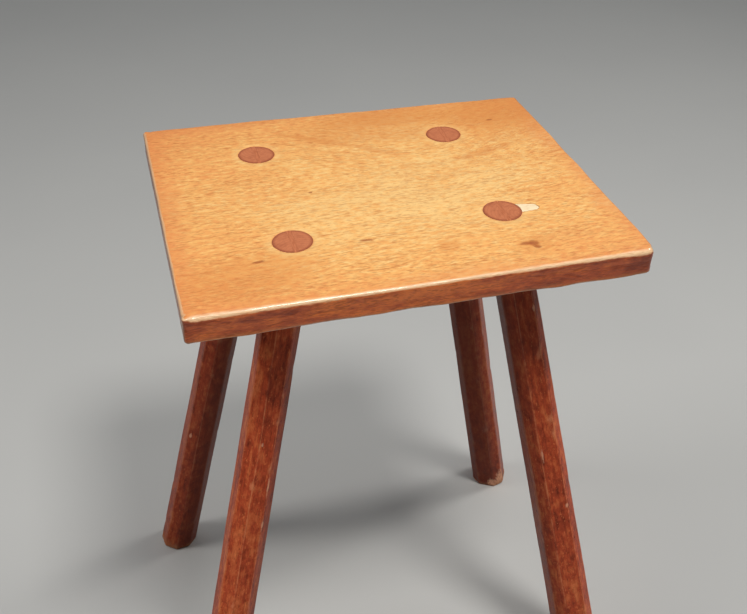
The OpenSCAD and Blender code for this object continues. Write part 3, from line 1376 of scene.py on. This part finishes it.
@dataclass
class GapFiller:
    """Cream filler in the split beside the front right tenon."""

    leg: Leg
    reach: float = 26.0 * MM
    root_half: float = 6.3 * MM
    tip_half: float = 3.8 * MM
    depth: float = 2.3 * MM
    clearance: float = 0.12 * MM
    sunk: float = 0.08 * MM
    finish: CreamFiller = field(default_factory=CreamFiller)

    def outline(self, spread: float, into_hole: bool) -> list[Vector]:
        """Ragged outline of the split, anticlockwise from above.

        Args:
            spread: How far it is grown outwards.
            into_hole: Whether its root runs on into the mortise.

        Returns:
            The points, in plan, from the tenon's middle.
        """
        ragged = Unevenness(0.45 * MM, 5.0)
        root = self.leg.tenon_radius + 0.32 * MM
        reach, tip = self.reach + spread, self.tip_half + spread
        lower_start = math.asin((self.root_half * 0.72) / root)
        upper_start = math.asin(self.root_half / root)
        lower = Vector((root * math.cos(lower_start), -root * math.sin(lower_start) - spread))
        upper = Vector((root * math.cos(upper_start), root * math.sin(upper_start) + spread))
        corners = [lower, Vector((reach - 2.2 * MM, -tip)), Vector((reach, -0.45 * tip))]
        corners += [Vector((reach - 0.8 * MM, 0.62 * tip)), Vector((reach - 3 * MM, tip)), upper]
        points = []
        for start, end in zip(corners, corners[1:]):
            steps = max(2, round((end - start).length / (1.1 * MM)))
            side = Vector((end.y - start.y, start.x - end.x)).normalized()
            for i in range(steps):
                place = start.lerp(end, i / steps)
                swing = ragged.at(place.x / (2.1 * MM), place.y / (2.1 * MM))
                points.append(place + side * (swing * math.sin(math.pi * i / steps)))
        points.append(upper)
        if into_hole:
            inside = 0.6 * root
            return points + [Vector((inside, upper.y)), Vector((inside, lower.y))]
        steps = 10
        for i in range(1, steps):
            angle = upper_start + (-lower_start - upper_start) * i / steps
            points.append(Vector((root * math.cos(angle), root * math.sin(angle))))
        return points

    def cutter(self) -> bpy.types.Object:
        """Closed block that cuts the split out of the board."""
        return self._block("split", self.clearance, True, 2.0 * MM, -self.depth - 0.1 * MM)

    def _block(
        self, name: str, spread: float, into_hole: bool, above: float, below: float
    ) -> bpy.types.Object:
        """Upright block on the split's outline.

        Args:
            name: Name of the block.
            spread: How far its outline is grown.
            into_hole: Whether its root runs on into the mortise.
            above: Its top, from the board's top.
            below: Its bottom, from the board's top.

        Returns:
            The block.
        """
        skin = Skin()
        plan = self.outline(spread, into_hole)
        top = self.leg.top
        middle = sum(plan, Vector((0.0, 0.0))) / len(plan)
        shrink = [(below, 1.0), (above - 0.25 * MM, 1.0), (above - 0.05 * MM, 0.975)]
        shrink += [(above, 0.92), (above, 0.6)] if not into_hole else [(above, 0.97)]
        rows = []
        for height, share in shrink:
            level = 1.0 if share > 0.93 else 0.0
            spots = [middle + (p - middle) * share for p in plan]
            points = [Vector((top.x + s.x, top.y + s.y, top.z + height)) for s in spots]
            rows.append(skin.ring(points, [level] * len(points)))
        for lower, upper in zip(rows, rows[1:]):
            skin.bridge(lower, upper)
        hub = Vector((top.x + middle.x, top.y + middle.y, 0.0))
        skin.fan(rows[0], hub + Vector((0.0, 0.0, top.z + below)), False)
        skin.fan(rows[-1], hub + Vector((0.0, 0.0, top.z + above)), True)
        return skin.piece(name, 35.0)

    def build(self) -> bpy.types.Object:
        """Make the filler and put it in place.

        Returns:
            The filler.
        """
        piece = self._block("gap_filler_cream", 0.0, False, -self.sunk, -self.depth)
        self.finish.dress(piece)
        settle(piece, "gap_filler")
        return piece


@dataclass
class Corner:
    """One corner of the board in plan, with the radius that use has given it."""

    place: Vector
    radius: float


@dataclass
class SeatBoard:
    """The oak plank, a little out of square, with its four raking mortises."""

    legs: Sequence[Leg]
    filler: GapFiller
    front_length: float = 299.0 * MM
    right_depth: float = 238.0 * MM
    mortise_radius: float = 12.8 * MM
    rim_ease: float = 0.15 * MM
    edge_step: float = 2.4 * MM
    sheet_step: float = 4.2 * MM
    hole_points: int = 72
    crisp_degrees: float = 40.0
    finish: GoldenOak = field(default_factory=GoldenOak)

    def __post_init__(self) -> None:
        """Take the board's box from its CAD node."""
        self.low, self.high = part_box("seat_board")

    def corners(self) -> list[Corner]:
        """Corners in plan.

        Returns:
            The corners, anticlockwise from the front left.
        """
        middle = (self.low.x + self.high.x) / 2
        front_left = Vector((middle - self.front_length / 2, self.low.y))
        front_right = Vector((middle + self.front_length / 2, self.low.y))
        back_right = Vector((self.high.x, self.low.y + self.right_depth))
        back_left = Vector((self.low.x, self.high.y))
        return [
            Corner(front_left, 2.8 * MM),
            Corner(front_right, 5.6 * MM),
            Corner(back_right, 3.4 * MM),
            Corner(back_left, 2.8 * MM),
        ]

    def outline(self) -> tuple[list[Vector], list[Vector]]:
        """Points along the board's edge and the inward direction at each.

        Returns:
            The points and the directions, anticlockwise from the front left corner.
        """
        corners = self.corners()
        points: list[Vector] = []
        inward: list[Vector] = []
        arc_steps = 7
        for i, corner in enumerate(corners):
            before = corners[i - 1].place
            after = corners[(i + 1) % len(corners)]
            into = (corner.place - before).normalized()
            out = (after.place - corner.place).normalized()
            pull = corner.radius * math.tan(into.angle(out) / 2)
            start = corner.place - into * pull
            hub = start + Vector((-into.y, into.x)) * corner.radius
            first = math.atan2(start.y - hub.y, start.x - hub.x)
            for step in range(arc_steps + 1):
                angle = first + into.angle(out) * step / arc_steps
                ray = Vector((math.cos(angle), math.sin(angle)))
                points.append(hub + ray * corner.radius)
                inward.append(-ray)
            run_start = points[-1]
            next_out = corners[(i + 2) % len(corners)].place - after.place
            next_pull = after.radius * math.tan(out.angle(next_out) / 2)
            run_end = after.place - out * next_pull
            count = round((run_end - run_start).length / self.edge_step)
            for step in range(1, count):
                points.append(run_start.lerp(run_end, step / count))
                inward.append(Vector((-out.y, out.x)))
        return points, inward

    def build(self) -> bpy.types.Object:
        """Make the board and put it in place.

        Returns:
            The board.
        """
        skin = Skin()
        rows = self._edge_rows(skin)
        for lower, upper in zip(rows, rows[1:]):
            skin.bridge(lower, upper)
        rims = [self._mortise_rows(skin, leg) for leg in self.legs]
        for faces_up, edge_row, rim in ((True, rows[-1], 0), (False, rows[0], -1)):
            height = self.high.z if faces_up else self.low.z
            loops = [edge_row] + [rim_rows[rim] for rim_rows in rims]
            skin.sheet(loops, self._inner_points(height), self._in_hole(height), faces_up)
        self._plane_by_hand(skin)
        piece = skin.piece("seat_board_planed", self.crisp_degrees)
        cut_away(piece, self.filler.cutter(), self.crisp_degrees)
        self.finish.dress(piece, [leg.top for leg in self.legs])
        settle(piece, "seat_board")
        return piece

    def _edge_rows(self, skin: Skin) -> list[list[int]]:
        """Rows of points round the board, from the underside's rim to the top's.

        Args:
            skin: Mesh in the making.

        Returns:
            The rows, lowest first.
        """
        plan, inward = self.outline()
        face = Unevenness(0.4 * MM, 13.0)
        long_wave = Unevenness(0.2 * MM, 14.0)
        corners = self.corners()
        profiles = []
        for point, ray in zip(plan, inward):
            top, low = self._arrises(point, corners)
            profiles.append(self._profile(point, ray, top, low, face, long_wave))
        rows = []
        for k in range(len(profiles[0])):
            row = [profile[k] for profile in profiles]
            rows.append(skin.ring([p for p, _ in row], [w for _, w in row]))
        return rows

    def _arrises(self, point: Vector, corners: Sequence[Corner]) -> tuple[float, float]:
        """Radii of the worn upper and lower arrises at one place of the edge.

        Args:
            point: Place in plan.
            corners: The board's corners.

        Returns:
            The upper radius and the lower one.
        """
        x, y = point.x / (22 * MM), point.y / (22 * MM)
        corner = min(corners, key=lambda c: (point - c.place).length)
        to_corner = (point - corner.place).length
        room = 0.7 * corner.radius + 0.9 * max(0.0, to_corner - corner.radius)
        knock = 0.9 * MM * self._bell(to_corner, 0.0, 14 * MM)
        top = 1.4 * MM + Unevenness(0.7 * MM, 11.0).at(x, y) + knock
        low = 1.2 * MM + Unevenness(0.9 * MM, 12.0).at(x, y) + knock
        if point.y <= self.low.y + EDGE_BAND:
            top += (1.5 + 0.9 * self._bell(point.x, -115 * MM, 55 * MM)) * MM
            top += 0.7 * MM * self._bell(point.x, 108 * MM, 45 * MM)
            chip = Unevenness(1.5 * MM, 17.0).dip(point.x / (13 * MM))
            low += self._bell(point.x, -8 * MM, 95 * MM) * (0.9 * MM + chip)
        if point.x < self.low.x + EDGE_BAND:
            top += 0.8 * MM
        return min(room, top), min(room, low)

    @staticmethod
    def _bell(value: float, middle: float, width: float) -> float:
        """Smooth bump that is 1 at the middle and fades over the width."""
        return math.exp(-(((value - middle) / width) ** 2))

    def _profile(
        self,
        point: Vector,
        ray: Vector,
        top: float,
        low: float,
        face: Unevenness,
        long_wave: Unevenness,
    ) -> list[tuple[Vector, float]]:
        """Points up the board's edge at one place of its outline.

        Args:
            point: Place in plan.
            ray: Inward direction in plan.
            top: Radius of the top arris.
            low: Radius of the lower arris.
            face: Unevenness of the edge's face.
            long_wave: Slow wander of the whole edge.

        Returns:
            Points with their wear levels, lowest first.
        """
        found: list[tuple[float, float, float]] = []
        turns = [math.radians(t) for t in (0, 14, 28, 42, 56, 70, 82)]
        for turn in turns:
            inset = low * (1 - math.sin(turn))
            found.append((inset, self.low.z + low * (1 - math.cos(turn)), math.sin(2 * turn) * 0.8))
        steps = 9
        for i in range(steps):
            share = i / (steps - 1)
            height = self.low.z + low + (self.high.z - top - self.low.z - low) * share
            wave = face.dip(point.x / (9 * MM), point.y / (9 * MM), share * 2.2)
            found.append((wave * math.sin(math.pi * share), height, 0.0))
        for turn in reversed(turns):
            inset = top * (1 - math.sin(turn))
            found.append((inset, self.high.z - top * (1 - math.cos(turn)), math.sin(2 * turn)))
        wander = long_wave.dip(point.x / (55 * MM), point.y / (55 * MM))
        profile = []
        for inset, height, level in found:
            place = point + ray * (inset + wander)
            profile.append((Vector((place.x, place.y, height)), level))
        return profile

    def _mortise_rows(self, skin: Skin, leg: Leg) -> list[list[int]]:
        """Rows of points down a mortise, with eased rims.

        Args:
            skin: Mesh in the making.
            leg: The leg that fills the mortise.

        Returns:
            The rows, highest first.
        """
        ease = self.rim_ease
        steps = [
            (ease, self.high.z),
            (0.3 * ease, self.high.z - 0.3 * ease),
            (0.0, self.high.z - ease),
            (0.0, self.low.z + ease),
            (ease, self.low.z),
        ]
        rows = []
        for extra, height in steps:
            radius = self.mortise_radius + extra
            turns = [2 * math.pi * i / self.hole_points for i in range(self.hole_points)]
            rows.append(skin.ring(leg.at_height(turn, radius, height) for turn in turns))
        for upper, lower in zip(rows, rows[1:]):
            skin.bridge(upper, lower)
        return rows

    def _in_hole(self, height: float) -> Callable[[Vector], bool]:
        """Make a test for places in plan that lie in a mortise.

        Args:
            height: Height of the places.

        Returns:
            The test.
        """
        middles = [leg.at_height(0.0, 0.0, height).to_2d() for leg in self.legs]
        reach = self.mortise_radius + 0.1 * MM
        return lambda place: any((place - m).length < reach for m in middles)

    def _inner_points(self, height: float) -> list[Vector]:
        """Jittered points over the board at one height, clear of its edge and its mortises.

        Args:
            height: The height.

        Returns:
            The points.
        """
        dice = random.Random(77)
        step = self.sheet_step
        margin = 6.5 * MM
        middles = [leg.at_height(0.0, 0.0, height).to_2d() for leg in self.legs]
        clear = self.mortise_radius / math.cos(max(leg.rake for leg in self.legs)) + 1.6 * MM
        corners = [c.place for c in self.corners()]
        found = []
        for i in range(int((self.high.x - self.low.x) / step)):
            for j in range(int((self.high.y - self.low.y) / step)):
                x = self.low.x + (i + 0.5 + dice.uniform(-0.2, 0.2)) * step
                y = self.low.y + (j + 0.5 + dice.uniform(-0.2, 0.2)) * step
                place = Vector((x, y))
                inside = all(
                    (b - a).normalized().cross(place - a) > margin
                    for a, b in zip(corners, corners[1:] + corners[:1])
                )
                if inside and all((place - m).length > clear for m in middles):
                    found.append(Vector((x, y, height)))
        return found

    def _plane_by_hand(self, skin: Skin) -> None:
        """Hollow the top and the underside slightly, as a hand plane leaves them.

        Args:
            skin: Mesh in the making.
        """
        flute = Unevenness(0.30 * MM, 21.0)
        scrub = Unevenness(0.45 * MM, 22.0)
        middle = (self.low.z + self.high.z) / 2
        half = (self.high.z - self.low.z) / 2
        for point in skin.points:
            weight = (point.z - middle) / half
            if weight > 0:
                point.z -= weight * flute.dip(point.x / (90 * MM), point.y / (34 * MM))
            else:
                point.z -= weight * scrub.dip(point.x / (60 * MM), point.y / (20 * MM), 3.0)


@dataclass
class Lamp:
    """One soft studio light: where it stands, what it faces, and its size, power and tint."""

    name: str
    place: tuple[float, float, float]
    aim: tuple[float, float, float]
    size: float
    power: float
    tint: tuple[float, float, float] = (1.0, 0.97, 0.92)

    def build(self) -> bpy.types.Object:
        """Hang the light.

        Returns:
            The light.
        """
        data = bpy.data.lights.new(self.name, "AREA")
        data.shape = "DISK"
        data.size = self.size
        data.energy = self.power
        data.color = self.tint
        lamp = bpy.data.objects.new(self.name, data)
        lamp.location = self.place
        reach = Vector(self.aim) - Vector(self.place)
        lamp.rotation_mode = "QUATERNION"
        lamp.rotation_quaternion = reach.to_track_quat("-Z", "Y")
        bpy.context.scene.collection.objects.link(lamp)
        return lamp


@dataclass
class Studio:
    """Pale floor, soft lights and the camera, which looks down on the stool from the front left."""

    lens: float = 47.16
    offset: tuple[float, float, float] = (-0.1692, -0.5729, 0.3336)
    swing: float = 16.35
    dip: float = 36.29
    roll: float = 1.2
    floor_half: float = 6.0
    floor_cells: int = 12
    air_colour: Colour = (0.56, 0.60, 0.63, 1.0)
    air_strength: float = 0.09
    lamps: tuple[Lamp, ...] = (
        Lamp("key_over_front", (0.3, -0.85, 2.3), (0.0, 0.0, 0.35), 0.5, 24.4),
        Lamp("side_left", (-1.15, 0.05, 1.6), (-0.1, 0.0, 0.3), 0.5, 8.5),
        Lamp("side_right", (1.2, 0.15, 1.6), (0.1, 0.0, 0.3), 0.5, 8.5),
        Lamp("overhead", (0.0, 0.8, 5.0), (0.0, 0.4, 0.0), 4.0, 38.0, (0.98, 0.99, 1.0)),
    )

    def build(self) -> None:
        """Set up the whole studio."""
        self._camera()
        self._floor()
        self._air()
        for lamp in self.lamps:
            lamp.build()
        bpy.context.scene.view_settings.view_transform = "Standard"
        LOG.info("studio: %d lamps", len(self.lamps))

    def _camera(self) -> None:
        """Stand the camera relative to the middle of the seat's top."""
        low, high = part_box("seat_board")
        middle = Vector(((low.x + high.x) / 2, (low.y + high.y) / 2, high.z))
        data = bpy.data.cameras.new("camera")
        data.lens = self.lens
        data.clip_start, data.clip_end = 0.05, 50.0
        camera = bpy.data.objects.new("camera", data)
        camera.location = middle + Vector(self.offset)
        swing, dip, roll = (math.radians(a) for a in (self.swing, self.dip, self.roll))
        level = Matrix.Rotation(-swing, 3, "Z") @ Matrix.Rotation(math.pi / 2 - dip, 3, "X")
        camera.rotation_mode = "QUATERNION"
        camera.rotation_quaternion = (level @ Matrix.Rotation(roll, 3, "Z")).to_quaternion()
        bpy.context.scene.collection.objects.link(camera)
        bpy.context.scene.camera = camera

    def _floor(self) -> None:
        """Lay the floor as a finely divided sheet."""
        skin = Skin()
        half, cells = self.floor_half, self.floor_cells
        line = [-half + 2 * half * i / cells for i in range(cells + 1)]
        rows = [skin.ring([Vector((x, y, 0.0)) for x in line]) for y in line]
        for near, far in zip(rows, rows[1:]):
            for i in range(cells):
                skin.faces.append((near[i], near[i + 1], far[i + 1], far[i]))
        floor = skin.piece("floor")
        PaleFloor().dress(floor)

    def _air(self) -> None:
        """Even, slightly cool light from all round."""
        world = bpy.data.worlds.new("studio_air")
        world.use_nodes = True
        backdrop = world.node_tree.nodes["Background"]
        backdrop.inputs["Color"].default_value = self.air_colour
        backdrop.inputs["Strength"].default_value = self.air_strength
        bpy.context.scene.world = world


def make_legs() -> list[Leg]:
    """Make the four legs, each with its own shape, marks and painted shade.

    Returns:
        The legs: front left, front right, back left and back right.
    """
    front_left = Leg(
        Place.FRONT_LEFT,
        foot_width=32.2 * MM,
        corner_share=1.01,
        turn=5.0,
        seed=3,
        pale_marks=(
            # The first two marks, on the right front arris, are painted highlights as well as
            # bruised spots.
            PaleMark(279.0, -61.0, 9.0, 4.0),
            PaleMark(244.0, -60.0, 5.0, 4.0),
            PaleMark(316.0, -99.0, 1.6, 2.5),
        ),
    )
    front_right = Leg(
        Place.FRONT_RIGHT,
        foot_width=34.8 * MM,
        corner_share=1.07,
        turn=1.0,
        seed=5,
        # The first mark, on an arris, is a painted highlight as well as a bruised spot.
        pale_marks=(PaleMark(256.0, -111.0, 6.0, 2.6), PaleMark(197.0, -64.0), PaleMark(389.0, -63.0)),
        stain_and_shade=(0.0, 0.4),
    )
    back_left = Leg(
        Place.BACK_LEFT,
        foot_width=31.4 * MM,
        corner_share=1.01,
        turn=7.0,
        seed=8,
        pale_marks=(PaleMark(167.0, -138.0, 3.0),),
        stain_and_shade=(0.32, 0.42),
    )
    back_right = Leg(
        Place.BACK_RIGHT,
        foot_width=32.2 * MM,
        corner_share=1.07,
        turn=-29.0,
        seed=13,
        pale_marks=(PaleMark(12.0, -62.0, 13.0, 20.0), PaleMark(8.0, -96.0, 8.0, 18.0)),
        stain_and_shade=(0.3, 0.45),
    )
    return [front_left, front_right, back_left, back_right]


def main() -> None:
    """Build the studio and every piece."""
    logging.basicConfig(level=logging.INFO, format="%(name)s: %(message)s")
    Studio().build()
    legs = make_legs()
    filler = GapFiller(legs[1])
    SeatBoard(legs, filler).build()
    for leg in legs:
        leg.build()
        Wedge(leg).build()
    filler.build()


if __name__ == "__main__":
    main()
